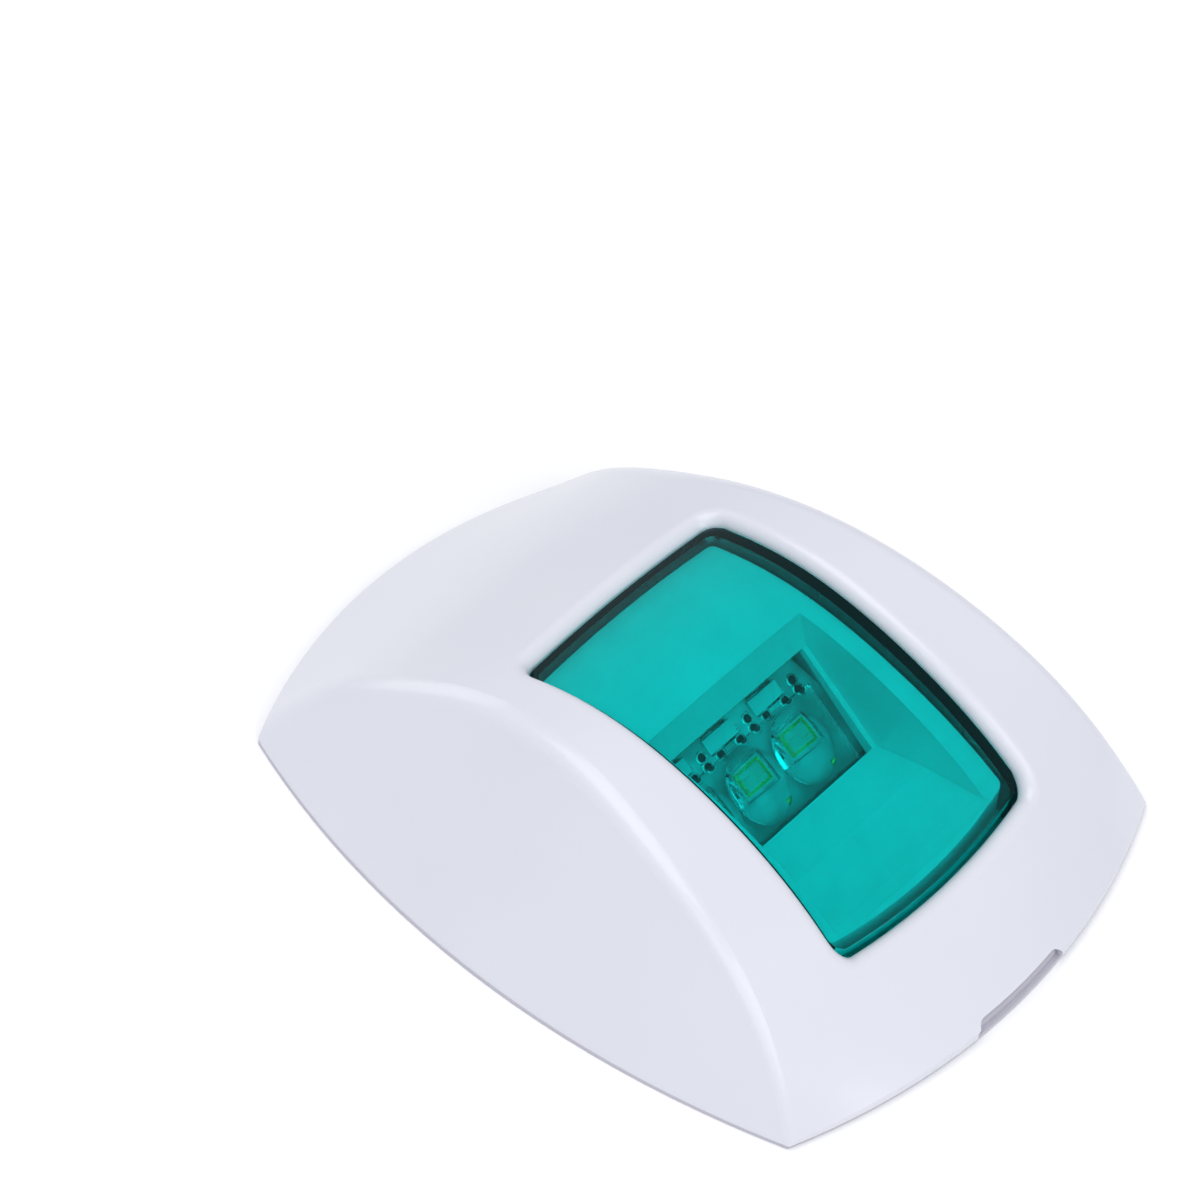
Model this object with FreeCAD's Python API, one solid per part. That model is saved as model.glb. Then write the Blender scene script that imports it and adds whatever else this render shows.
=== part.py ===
import FreeCAD, Part
import math
import os

# Side navigation light for a small boat: a white clip-on cover over a base plate, with a sealed
# green LED module between them.  Millimetres.
# Origin: centre of the mounting face.  +X points to the front end, which has the pry notch.
# +Y points to the left, +Z points away from the surface that the light is screwed to.

Vector = FreeCAD.Vector

# --- outer shape of the cover -------------------------------------------------------------------
CORNER_X = 37.0              # the four corners of the footprint lie at x = +-CORNER_X
END_BOW = 6.0                # how far each bowed end reaches past its corners
FRONT_HALF_WIDTH = 30.5      # at the front corners
REAR_HALF_WIDTH = 27.0       # at the rear corners
MID_HALF_WIDTH = 34.95       # at the widest place, x = 0
DRAFT_TOP_Z = 27.0           # height of the upper outline that the side walls are ruled to
DRAFT_FRONT_HALF_WIDTH = 19.2
DRAFT_REAR_HALF_WIDTH = 9.35
DRAFT_MID_HALF_WIDTH = 20.25

# The arched top runs from the rear rim over to the front rim.  These are x and z along its ridge;
# its cross rows bow towards both ends and crown a little in the middle.
RIDGE_LINE = [(-39, -2.6), (-37, 1.1), (-34, 5.4), (-31, 9.2), (-27.75, 12.2), (-21, 16.5),
              (-13.9, 20.0), (0, 22.7), (13.9, 20.1), (27.75, 12.7), (37, 1.1), (40, -4)]
ROW_BOW_MID_X = -13.0
ROW_BOW_MID = 0.6
ROW_BOW_FRONT_POWER = 10
ROW_BOW_REAR_POWER = 4
CROWN = 0.6
CROWN_HALF_WIDTH = 24.0
ARCH_ROWS = 33
ARCH_COLUMNS = 6             # columns of surface points on each side of the middle
ARCH_HALF_WIDTH = 39.0
DEEP = 70.0                  # more than the height of anything here
OVERLAP = 0.1                # so that joined solids share some material
TINY = 0.01

RIDGE_RADIUS_REAR = 4.2
RIDGE_RADIUS_FRONT = 1.4
WALL = 1.8                   # cover wall
FLANGE_Z = 0.5               # the cover's rim stands on the base plate's thin flange
FIT_GAP = 0.3                # between the cover and whatever stays on the boat

# --- window and pry notch -----------------------------------------------------------------------
WINDOW_REAR_X = -11.35
WINDOW_FRONT_X = 30.2
WINDOW_REAR_HALF_WIDTH = 15.15
WINDOW_FRONT_HALF_WIDTH = 15.55
WINDOW_MID_HALF_WIDTH = 15.0
WINDOW_REAR_BOW = 0.6
WINDOW_FRONT_BOW = 1.4
WINDOW_CORNER_RADIUS = 2.0
WINDOW_BEVEL_RADIUS = 1.4
NOTCH_HALF_WIDTH = 7.2
NOTCH_HEIGHT = 2.2
NOTCH_DEPTH = 4.5
NOTCH_CORNER_RADIUS = 1.5
TONGUE_SETBACK = 0.7         # face of the base plate's tongue in the notch, below the cover's face

# --- base plate ---------------------------------------------------------------------------------
PLATE_TOP_Z = 2.2
RIM_TOP_Z = 5.0
RIM_THICKNESS = 1.2
RIM_EXTRA_GAP = 0.4
RIM_FRONT_X = 20.0           # ahead of this the rim has only its two side stretches
RIM_FRONT_HALF_WIDTH = 28.0
RIM_HOOK_GAP = 1.0
FLANGE_INSET = 0.2           # the cover overhangs the flange by this
GASKET_WIDTH = 2.4
GASKET_THICKNESS = 1.0
GASKET_INSET = 3.0
MOUNT_HOLE_X = 9.0
MOUNT_HOLE_Y = 25.5
MOUNT_HOLE_RADIUS = 2.1
MOUNT_BOSS_RADIUS = 4.2
MOUNT_BOSS_TOP_Z = 3.8
BOSS_BOTTOM_Z = 0.2
CABLE_X = -3.4
CABLE_HOLE_RADIUS = 3.0
GROMMET_BORE_RADIUS = 1.9
GROMMET_BOTTOM_Z = 0.3
GROMMET_FLANGE_RADIUS = 3.6
GROMMET_FLANGE_HEIGHT = 0.9

# --- clip hooks ---------------------------------------------------------------------------------
HOOK_X = (-8.0, 26.0)
HOOK_HALF_WIDTH = 3.0
HOOK_INNER_Y = (27.5, 26.4)          # inner face of the hook's bead, for each hook position
HOOK_THICKNESS = 1.3
HOOK_BOTTOM_Z = 3.0
HOOK_TOP_Z = 8.5
BEAD_HEIGHT = 0.8
BEAD_DEPTH = 0.5
POST_THICKNESS = 1.4
POST_TOP_Z = 5.4

# --- sealed LED module --------------------------------------------------------------------------
LENS_RECESS = 1.3            # lens face below the cover's face, measured square to it
LENS_THICKNESS = 1.6
SKIRT_THICKNESS = 0.7
SKIRT_BOTTOM_Z = 4.8
SEAL_THICKNESS = 0.7
HOUSING_FLOOR = 1.2
HOUSING_WALL = 1.1
RISER_HALF_WIDTH = 1.6
TRAY_DROP = 4.3              # reflector face straight below the cover's face
TRAY_THICKNESS = 1.1
TRAY_GAP = 0.2               # between tray and lens skirt
TRAY_FRONT_GAP = 1.0         # wider at the front, where the tray stops short of the skirt
TRAY_BOTTOM_Z = 5.4
POCKET_Y = (-13.0, 11.4)     # the pocket reaches further to the right, where the supply comes up
SLOT_END_GAP = 0.6           # from each end of the slot to the pocket's end wall
SLOT_REAR = (4.4, 14.9)      # x, z of the slot's rear edge
SLOT_FRONT = (14.4, 7.2)     # x, z of the slot's front edge
POCKET_REAR = (3.1, 19.0)    # x, z where the pocket's rear face meets the reflector face
POCKET_RISE = (20.4, 8.5)    # on the pocket's front floor
POCKET_FRONT = (27.2, 9.2)   # where the front floor meets the reflector face
BOARD_DEPTH = 3.4            # LED board face below the slot's edges
BOARD_THICKNESS = 1.0
BOARD_Y = (-12.6, 12.5)
BOARD_CORNER = (4.9, 1.8)      # cut off the board's upper left corner, along and across the slope
BOARD_ENDS = (-1.6, 12.8)      # along the slope, from the slot's rear edge
SPREADER_THICKNESS = 1.2
LED_PITCH = 7.4
LED_CENTRE_Y = -1.9          # the middle LED
LED_ALONG = 7.2              # LED centres, from the slot's rear edge down the slope
LED_SIZE = (2.8, 3.5, 0.8)
EMITTER_SIZE = (1.9, 2.5, 0.25)
PAD_ALONG = 1.9
PAD_SIZE = (1.7, 4.4, 0.5)
LOBE_ALONG = 8.2
LOBE_HALF_LENGTH = 4.6
LOBE_HEIGHT = 3.1
OPTIC_BASE_HEIGHT = 1.1
OPTIC_CLEARANCE = 0.15       # between the board and the optic
OPTIC_END_GAP = 0.2
OPTIC_LED_GAP = 0.3          # all round each LED, in the optic's underside
LOBE_HALF_WIDTH = 3.95       # more than half the pitch, so that the lobes run into each other
DRIVER_BOARD_X = (-8.6, -0.6)
DRIVER_BOARD_HALF_WIDTH = 11.0
DRIVER_BOARD_Z = 6.4
DRIVER_BOARD_THICKNESS = 1.2
REST_MARGIN = 0.5
REST_WIDTH = 1.2
EAR_X = (-7.0, 22.0)
EAR_Y = 19.6
EAR_RADIUS = 2.6
EAR_BOTTOM_Z = 5.6
EAR_TOP_Z = 7.4
BOSS_GAP = 0.1
SCREW_RADIUS = 1.1
SCREW_HEAD_RADIUS = 2.1
SCREW_HEAD_HEIGHT = 1.4
SCREW_TIP_Z = 1.2


# --- shape helpers ------------------------------------------------------------------------------
def box(x0, x1, y0, y1, z0, z1):
    return Part.makeBox(x1 - x0, y1 - y0, z1 - z0, Vector(x0, y0, z0))


def rod(x, y, z0, z1, radius):
    return Part.makeCylinder(radius, z1 - z0, Vector(x, y, z0))


def joined(shapes):
    whole = shapes[0]
    for shape in shapes[1:]:
        whole = whole.fuse(shape)
    return whole.removeSplitter()


def arc(first, middle, last, z):
    return Part.Arc(Vector(*first, z), Vector(*middle, z), Vector(*last, z)).toShape()


def four_arcs(z, rear_x, rear_mid_x, rear_half, front_x, front_mid_x, front_half, mid_x, mid_half):
    # A closed outline of four arcs, the same on both sides of the XZ plane.
    right = arc((rear_x, -rear_half), (mid_x, -mid_half), (front_x, -front_half), z)
    front = arc((front_x, -front_half), (front_mid_x, 0), (front_x, front_half), z)
    left = arc((front_x, front_half), (mid_x, mid_half), (rear_x, rear_half), z)
    rear = arc((rear_x, rear_half), (rear_mid_x, 0), (rear_x, -rear_half), z)
    return Part.Wire([right, front, left, rear])


def upright(outline, z0, z1):
    solid = Part.Face(outline).extrude(Vector(0, 0, z1 - z0))
    solid.translate(Vector(0, 0, z0 - outline.BoundBox.ZMin))
    return solid


def corner_edges(solid):
    return [edge for edge in solid.Edges
            if edge.BoundBox.XLength < TINY and edge.BoundBox.YLength < TINY]


def profile_along_y(points, y0, y1):
    # Straight-sided XZ profile, extruded from y0 to y1.
    corners = [Vector(x, y0, z) for x, z in points]
    face = Part.Face(Part.makePolygon(corners + [corners[0]]))
    return face.extrude(Vector(0, y1 - y0, 0))


# --- outer body and its offsets -----------------------------------------------------------------
def footprint(z, inset):
    side_inset = inset * 1.12        # the drafted walls are thicker measured level than square
    return four_arcs(z,
                     -CORNER_X + inset, -CORNER_X - END_BOW + inset, REAR_HALF_WIDTH - side_inset,
                     CORNER_X - inset, CORNER_X + END_BOW - inset, FRONT_HALF_WIDTH - side_inset,
                     0, MID_HALF_WIDTH - side_inset)


def drafted_walls(inset):
    side_inset = inset * 1.12
    upper = four_arcs(DRAFT_TOP_Z,
                      -CORNER_X + inset, -CORNER_X - END_BOW + inset, DRAFT_REAR_HALF_WIDTH - side_inset,
                      CORNER_X - inset, CORNER_X + END_BOW - inset, DRAFT_FRONT_HALF_WIDTH - side_inset,
                      0, DRAFT_MID_HALF_WIDTH - side_inset)
    return Part.makeLoft([footprint(0, inset), upper], True, True)


def row_bow(x):
    # How far the middle of a cross row lies ahead of its ends on the ridges.
    if x > ROW_BOW_MID_X:
        along = (x - ROW_BOW_MID_X) / (CORNER_X - ROW_BOW_MID_X)
        return ROW_BOW_MID + (END_BOW - ROW_BOW_MID) * along ** ROW_BOW_FRONT_POWER
    along = (ROW_BOW_MID_X - x) / (ROW_BOW_MID_X + CORNER_X)
    return ROW_BOW_MID - (END_BOW + ROW_BOW_MID) * along ** ROW_BOW_REAR_POWER


def arch_points():
    ridge = Part.BSplineCurve()
    ridge.interpolate([Vector(x, 0, z) for x, z in RIDGE_LINE])
    rows = []
    for i in range(ARCH_ROWS):
        share = i / (ARCH_ROWS - 1)
        at = ridge.value(ridge.FirstParameter + share * (ridge.LastParameter - ridge.FirstParameter))
        taper = (FRONT_HALF_WIDTH - REAR_HALF_WIDTH) * at.x / CORNER_X
        half = (FRONT_HALF_WIDTH + REAR_HALF_WIDTH + taper) / 2
        row = []
        for j in range(-ARCH_COLUMNS, ARCH_COLUMNS + 1):
            y = ARCH_HALF_WIDTH * j / ARCH_COLUMNS
            bow = row_bow(at.x) * (1 - (y / half) ** 2)
            crown = CROWN * (1 - (y / CROWN_HALF_WIDTH) ** 2)
            row.append(Vector(at.x + bow, y, at.z + crown))
        rows.append(row)
    return rows


def lowered(rows, depth):
    # Every point moved inwards, square to the surface.
    last_row = len(rows) - 1
    last_column = len(rows[0]) - 1
    moved = []
    for i, row in enumerate(rows):
        moved_row = []
        for j, point in enumerate(row):
            along = rows[min(i + 1, last_row)][j] - rows[max(i - 1, 0)][j]
            across = row[min(j + 1, last_column)] - row[max(j - 1, 0)]
            moved_row.append(point - along.cross(across).normalize() * depth)
        moved.append(moved_row)
    return moved


def under_arch(depth):
    # Everything below the arched top surface, or below its offset at this depth.
    surface = Part.BSplineSurface()
    surface.interpolate(lowered(arch_points(), depth))
    return surface.toShape().extrude(Vector(0, 0, -DEEP))


def body(inset):
    return drafted_walls(inset).common(under_arch(inset))


def soften_ridges(solid):
    # Rounds the two long ridges, more at the rear than at the front.
    rounded = solid
    for side in (-1, 1):
        ridge = [edge for edge in rounded.Edges
                 if edge.Length > 60 and edge.BoundBox.ZMax > 15 and edge.CenterOfMass.y * side > 5]
        starts_at_rear = ridge[0].valueAt(ridge[0].FirstParameter).x < 0
        radii = (RIDGE_RADIUS_REAR, RIDGE_RADIUS_FRONT)
        first, last = radii if starts_at_rear else radii[::-1]
        rounded = rounded.makeFillet(first, last, ridge)
    return rounded


def window_outline(inset):
    return four_arcs(0,
                     WINDOW_REAR_X + inset, WINDOW_REAR_X - WINDOW_REAR_BOW + inset,
                     WINDOW_REAR_HALF_WIDTH - inset,
                     WINDOW_FRONT_X - inset, WINDOW_FRONT_X + WINDOW_FRONT_BOW - inset,
                     WINDOW_FRONT_HALF_WIDTH - inset,
                     (WINDOW_REAR_X + WINDOW_FRONT_X) / 2, WINDOW_MID_HALF_WIDTH - inset)


def window_column(inset, z0, z1):
    # Upright column with the window's outline, moved inwards by inset.
    column = upright(window_outline(inset), z0, z1)
    radius = max(WINDOW_CORNER_RADIUS - inset, 0.4)
    return column.makeFillet(radius, corner_edges(column))


# --- cover --------------------------------------------------------------------------------------
def bevel_window(shell):
    # Rolls the outer edge of the window over into its upright wall.
    edges = []
    for edge in shell.Edges:
        span = edge.BoundBox
        middle = edge.CenterOfMass
        upright_edge = span.XLength < TINY and span.YLength < TINY
        near_window = (WINDOW_REAR_X - 1 < middle.x < WINDOW_FRONT_X + 3
                       and abs(middle.y) < WINDOW_FRONT_HALF_WIDTH + 0.5)
        if near_window and not upright_edge and outer_face_edge(shell, edge):
            edges.append(edge)
    return shell.makeFillet(WINDOW_BEVEL_RADIUS, edges)


def outer_face_edge(shell, edge):
    # True where the edge lies on the outer arch, not on the one inside the cover.
    middle = edge.valueAt((edge.FirstParameter + edge.LastParameter) / 2)
    above = Part.Vertex(middle + Vector(0, 0, WALL))
    return above.distToShape(shell)[0] > WALL * 0.6


def pry_notch():
    x = CORNER_X + END_BOW
    cutter = box(x - NOTCH_DEPTH, x + 3, -NOTCH_HALF_WIDTH, NOTCH_HALF_WIDTH, -1, NOTCH_HEIGHT)
    upper = [edge for edge in cutter.Edges
             if edge.BoundBox.XLength > 1 and edge.BoundBox.ZMin > NOTCH_HEIGHT - TINY]
    return cutter.makeFillet(NOTCH_CORNER_RADIUS, upper)


def hook(x, inner_y):
    # A tab on the cover's inner side wall, with a small bead at its lower end.
    tab = box(x - HOOK_HALF_WIDTH, x + HOOK_HALF_WIDTH,
              inner_y + BEAD_DEPTH, inner_y + BEAD_DEPTH + HOOK_THICKNESS, HOOK_BOTTOM_Z, HOOK_TOP_Z)
    bead = box(x - HOOK_HALF_WIDTH, x + HOOK_HALF_WIDTH,
               inner_y, inner_y + BEAD_DEPTH + 0.1, HOOK_BOTTOM_Z, HOOK_BOTTOM_Z + BEAD_HEIGHT)
    return tab.fuse(bead)


def mirrored(shape):
    return shape.mirror(Vector(0, 0, 0), Vector(0, 1, 0))


def cover():
    outer = soften_ridges(body(0))
    opened = outer.cut(window_column(0, -1, DEEP))
    bevelled = bevel_window(opened)
    hollow = body(WALL)
    below_rim = box(-DEEP, DEEP, -DEEP, DEEP, -DEEP, FLANGE_Z)
    shell = bevelled.cut(hollow).cut(below_rim)
    hooks = [hook(x, y) for x, y in zip(HOOK_X, HOOK_INNER_Y)]
    for one in hooks + [mirrored(one) for one in hooks]:
        shell = shell.fuse(one.common(outer))
    return shell.cut(pry_notch())


# --- base plate and what sits in it -------------------------------------------------------------
def latch_post(x, inner_y):
    # Stands inside each hook; its lip sits over the hook's bead.
    outer_y = inner_y - FIT_GAP
    post = box(x - HOOK_HALF_WIDTH, x + HOOK_HALF_WIDTH,
               outer_y - POST_THICKNESS, outer_y - BEAD_DEPTH, PLATE_TOP_Z - 0.5, POST_TOP_Z)
    lip = box(x - HOOK_HALF_WIDTH, x + HOOK_HALF_WIDTH,
              outer_y - POST_THICKNESS, outer_y, POST_TOP_Z - BEAD_HEIGHT, POST_TOP_Z)
    return post.fuse(lip)


def locating_rim():
    # Low wall just inside the cover, left out at the front end and where the hooks come down.
    inset = WALL + FIT_GAP + RIM_EXTRA_GAP
    rim = upright(footprint(0, inset), PLATE_TOP_Z - OVERLAP, RIM_TOP_Z).common(body(inset))
    rim = rim.cut(upright(footprint(0, inset + RIM_THICKNESS), 0, DEEP))
    rim = rim.cut(box(RIM_FRONT_X, DEEP, -RIM_FRONT_HALF_WIDTH, RIM_FRONT_HALF_WIDTH, 0, DEEP))
    for x in HOOK_X:
        half = HOOK_HALF_WIDTH + RIM_HOOK_GAP
        rim = rim.cut(box(x - half, x + half, -DEEP, DEEP, PLATE_TOP_Z, DEEP))
    return rim


def notch_tongue():
    # Fills the pry notch, but for a gap all round and a small step back from the cover's face.
    half = NOTCH_HALF_WIDTH - FIT_GAP
    top_z = NOTCH_HEIGHT - FIT_GAP
    end_x = CORNER_X + END_BOW
    block = box(end_x - NOTCH_DEPTH + FIT_GAP, end_x, -half, half, -1, top_z)
    upper = [edge for edge in block.Edges
             if edge.BoundBox.XLength > 1 and edge.BoundBox.ZMin > top_z - TINY]
    block = block.makeFillet(NOTCH_CORNER_RADIUS - FIT_GAP, upper)
    above_base = box(0, DEEP, -DEEP, DEEP, FLANGE_Z - OVERLAP, DEEP)
    return block.common(body(TONGUE_SETBACK)).common(above_base)


def base_plate():
    flange = upright(footprint(0, FLANGE_INSET), 0, FLANGE_Z)
    floor_inset = WALL + FIT_GAP
    floor = upright(footprint(0, floor_inset + FLANGE_INSET), FLANGE_Z - OVERLAP, PLATE_TOP_Z)
    floor = floor.common(body(floor_inset))
    pieces = [joined([flange, floor]), locating_rim(), notch_tongue()]
    for x, y in zip(HOOK_X, HOOK_INNER_Y):
        post = latch_post(x, y)
        pieces.append(post)
        pieces.append(mirrored(post))
    for side in (-1, 1):
        y = side * MOUNT_HOLE_Y
        pieces.append(rod(MOUNT_HOLE_X, y, BOSS_BOTTOM_Z, MOUNT_BOSS_TOP_Z, MOUNT_BOSS_RADIUS))
        for x in EAR_X:
            pieces.append(rod(x, side * EAR_Y, BOSS_BOTTOM_Z, EAR_BOTTOM_Z, EAR_RADIUS))
    whole = joined(pieces)
    for side in (-1, 1):
        whole = whole.cut(rod(MOUNT_HOLE_X, side * MOUNT_HOLE_Y, -1, DEEP, MOUNT_HOLE_RADIUS))
        for x in EAR_X:
            whole = whole.cut(rod(x, side * EAR_Y, SCREW_TIP_Z - FIT_GAP, DEEP, SCREW_RADIUS))
    whole = whole.cut(rod(CABLE_X, 0, -1, DEEP, CABLE_HOLE_RADIUS))
    return whole.cut(gasket_groove())


def gasket_groove():
    outer = upright(footprint(0, GASKET_INSET), -0.1, GASKET_THICKNESS)
    return outer.cut(upright(footprint(0, GASKET_INSET + GASKET_WIDTH), -1, GASKET_THICKNESS + 1))


def mounting_gasket():
    strip = upright(footprint(0, GASKET_INSET + 0.05), 0, GASKET_THICKNESS)
    return strip.cut(upright(footprint(0, GASKET_INSET + GASKET_WIDTH - 0.05), -1, GASKET_THICKNESS + 1))


def cable_grommet():
    floor_z = housing_floor_z()
    neck = rod(CABLE_X, 0, GROMMET_BOTTOM_Z, floor_z + OVERLAP, CABLE_HOLE_RADIUS)
    flange = rod(CABLE_X, 0, floor_z, floor_z + GROMMET_FLANGE_HEIGHT, GROMMET_FLANGE_RADIUS)
    return joined([neck, flange]).cut(rod(CABLE_X, 0, -1, DEEP, GROMMET_BORE_RADIUS))


# --- sealed module: lens, seal, housing, screws -------------------------------------------------
def lens():
    outside = window_column(FIT_GAP, SKIRT_BOTTOM_Z, DEEP).common(under_arch(LENS_RECESS))
    inside = window_column(FIT_GAP + SKIRT_THICKNESS, 0, DEEP)
    inside = inside.common(under_arch(LENS_RECESS + LENS_THICKNESS))
    return outside.cut(inside)


def lens_seal():
    ring = window_column(FIT_GAP + 0.1, SKIRT_BOTTOM_Z - SEAL_THICKNESS, SKIRT_BOTTOM_Z)
    return ring.cut(window_column(FIT_GAP + SKIRT_THICKNESS - 0.1, 0, 10))


def module_housing():
    ledge_z = SKIRT_BOTTOM_Z - SEAL_THICKNESS
    rib_inset = FIT_GAP + SKIRT_THICKNESS + TRAY_GAP
    tub = window_column(FIT_GAP, PLATE_TOP_Z, ledge_z)
    rib = window_column(rib_inset, ledge_z - OVERLAP, TRAY_BOTTOM_Z)
    pieces = [tub, rib]
    for x in EAR_X:
        for side in (-1, 1):
            pieces.append(rod(x, side * EAR_Y, EAR_BOTTOM_Z, EAR_TOP_Z, EAR_RADIUS))
            pieces.append(riser(x, side, ledge_z))
    whole = joined(pieces)
    whole = whole.cut(window_column(rib_inset + HOUSING_WALL, housing_floor_z(), DEEP))
    for x in EAR_X:
        for side in (-1, 1):
            whole = whole.cut(rod(x, side * EAR_Y, 0, DEEP, SCREW_RADIUS + FIT_GAP))
    whole = joined([whole] + board_rests())
    return whole.cut(rod(CABLE_X, 0, 0, DEEP, CABLE_HOLE_RADIUS))


def housing_floor_z():
    return PLATE_TOP_Z + HOUSING_FLOOR


def riser(x, side, ledge_z):
    # Bracket from the tub's wall out to a screw ear, cut back around the boss under the ear.
    wall_y = WINDOW_MID_HALF_WIDTH - HOUSING_WALL
    boss_y = EAR_Y - EAR_RADIUS - BOSS_GAP
    points = [(wall_y, PLATE_TOP_Z), (boss_y, PLATE_TOP_Z), (boss_y, EAR_BOTTOM_Z),
              (EAR_Y, EAR_BOTTOM_Z), (EAR_Y, EAR_TOP_Z), (WINDOW_MID_HALF_WIDTH + FIT_GAP, EAR_TOP_Z),
              (WINDOW_MID_HALF_WIDTH + FIT_GAP, ledge_z), (wall_y, ledge_z)]
    corners = [Vector(x - RISER_HALF_WIDTH, side * y, z) for y, z in points]
    section = Part.Face(Part.makePolygon(corners + [corners[0]]))
    return section.extrude(Vector(2 * RISER_HALF_WIDTH, 0, 0))


def board_rests():
    # Two small ledges under the ends of the driver board.
    x0, x1 = DRIVER_BOARD_X
    outer = DRIVER_BOARD_HALF_WIDTH - REST_MARGIN
    rest = box(x0 + REST_MARGIN, x1 - REST_MARGIN, outer - REST_WIDTH, outer,
               housing_floor_z() - OVERLAP, DRIVER_BOARD_Z)
    return [rest, mirrored(rest)]


def module_screws():
    screws = []
    for x in EAR_X:
        for side in (-1, 1):
            shaft = rod(x, side * EAR_Y, SCREW_TIP_Z, EAR_TOP_Z + 0.5, SCREW_RADIUS - 0.05)
            head = rod(x, side * EAR_Y, EAR_TOP_Z, EAR_TOP_Z + SCREW_HEAD_HEIGHT, SCREW_HEAD_RADIUS)
            rim = [edge for edge in head.Edges if edge.BoundBox.ZMin > EAR_TOP_Z + 0.5
                   and edge.BoundBox.XLength > 1]
            head = head.makeFillet(0.6, rim)
            cross = drive_cross(x, side * EAR_Y, EAR_TOP_Z + SCREW_HEAD_HEIGHT)
            screws.append(shaft.fuse(head).removeSplitter().cut(cross))
    return Part.makeCompound(screws)


def drive_cross(x, y, top_z):
    long_bar = box(x - 1.1, x + 1.1, y - 0.25, y + 0.25, top_z - 0.8, top_z + 1)
    return long_bar.fuse(box(x - 0.25, x + 0.25, y - 1.1, y + 1.1, top_z - 0.8, top_z + 1))


# --- reflector tray -----------------------------------------------------------------------------
def pocket_profile(grow):
    # Section of the pocket: steep rear face, slot between the two slot edges, rising front floor.
    points = [(POCKET_REAR[0] - grow, POCKET_REAR[1] + 8), (POCKET_REAR[0] - grow, POCKET_REAR[1]),
              (SLOT_REAR[0] - grow, SLOT_REAR[1]), (SLOT_FRONT[0] - grow * 0.6, SLOT_FRONT[1] - grow),
              (POCKET_RISE[0], POCKET_RISE[1] - grow), (POCKET_FRONT[0], POCKET_FRONT[1] - grow),
              (WINDOW_FRONT_X + 4, POCKET_FRONT[1] - grow), (WINDOW_FRONT_X + 4, POCKET_REAR[1] + 8)]
    return points


def pocket(grow):
    right, left = POCKET_Y
    return profile_along_y(pocket_profile(grow), right - grow, left + grow)


def slot():
    # The opening in the pocket's floor that the lobed optic stands in.
    points = [SLOT_REAR, SLOT_FRONT, down_slope(14, -6), down_slope(-0.6, -6)]
    right, left = slot_ends()
    return profile_along_y(points, right, left)


def slot_ends():
    return POCKET_Y[0] + SLOT_END_GAP, POCKET_Y[1] - SLOT_END_GAP


def tray_top():
    # Everything below the reflector face, which follows the cover's arch.
    below = under_arch(0)
    below.translate(Vector(0, 0, -TRAY_DROP))
    return below


def reflector_tray():
    inset = FIT_GAP + SKIRT_THICKNESS + TRAY_GAP
    top = tray_top()
    full = window_column(inset, TRAY_BOTTOM_Z, DEEP).common(top)
    front = window_column(inset, 0, DEEP)
    front.translate(Vector(-TRAY_FRONT_GAP, 0, 0))
    full = full.common(front)
    top.translate(Vector(0, 0, -TRAY_THICKNESS))
    core = window_column(inset + TRAY_THICKNESS, 0, DEEP).common(top)
    skin = full.cut(core)
    pocket_walls = pocket(TRAY_THICKNESS).common(full)
    tray = skin.fuse(pocket_walls).cut(pocket(0))
    tray = tray.cut(slot())
    return biggest(tray)


def biggest(shape):
    return max(shape.Solids, key=lambda solid: solid.Volume)


# --- the sloping LED board ----------------------------------------------------------------------
def slope_axes():
    along = Vector(SLOT_FRONT[0] - SLOT_REAR[0], 0, SLOT_FRONT[1] - SLOT_REAR[1]).normalize()
    return along, Vector(-along.z, 0, along.x)


def down_slope(along_distance, height):
    # x, z of a point this far down the slope from the slot's rear edge, and this far above it.
    along, out = slope_axes()
    point = Vector(SLOT_REAR[0], 0, SLOT_REAR[1]) + along * along_distance + out * height
    return (point.x, point.z)


def on_slope(shape):
    # Turns a shape drawn flat (X down the slope, Z out of the board's face) into its place.
    along, out = slope_axes()
    placed = shape.copy()
    placed.rotate(Vector(0, 0, 0), Vector(0, 1, 0), math.degrees(math.atan2(-along.z, along.x)))
    origin = Vector(SLOT_REAR[0], 0, SLOT_REAR[1]) - out * BOARD_DEPTH
    placed.translate(origin)
    return placed


def led_places():
    return [(LED_ALONG, LED_CENTRE_Y + LED_PITCH * i) for i in (-1, 0, 1)]


def flat_box(along, across, size, z0):
    length, width, height = size
    return box(along - length / 2, along + length / 2, across - width / 2, across + width / 2, z0, z0 + height)


def led_board():
    flat = box(*BOARD_ENDS, *BOARD_Y, -BOARD_THICKNESS, 0)
    along, across = BOARD_CORNER
    left = BOARD_Y[1]
    places = [(BOARD_ENDS[0], left - across), (along, left), (BOARD_ENDS[0], left)]
    points = [Vector(x, y, -DEEP) for x, y in places]
    corner = Part.Face(Part.makePolygon(points + [points[0]]))
    return on_slope(flat.cut(corner.extrude(Vector(0, 0, 2 * DEEP))))


def led_packages():
    packages = []
    for along, across in led_places():
        package = flat_box(along, across, LED_SIZE, 0)
        cup = flat_box(along, across, EMITTER_SIZE, LED_SIZE[2] - EMITTER_SIZE[2])
        packages.append(on_slope(package.cut(cup)))
    return Part.makeCompound(packages)


def led_emitters():
    emitters = [flat_box(along, across, EMITTER_SIZE, LED_SIZE[2] - EMITTER_SIZE[2])
                for along, across in led_places()]
    return Part.makeCompound([on_slope(one) for one in emitters])


def chip_resistors():
    chips = [flat_box(PAD_ALONG, across, PAD_SIZE, 0) for along, across in led_places()]
    return Part.makeCompound([on_slope(one) for one in chips])


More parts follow.
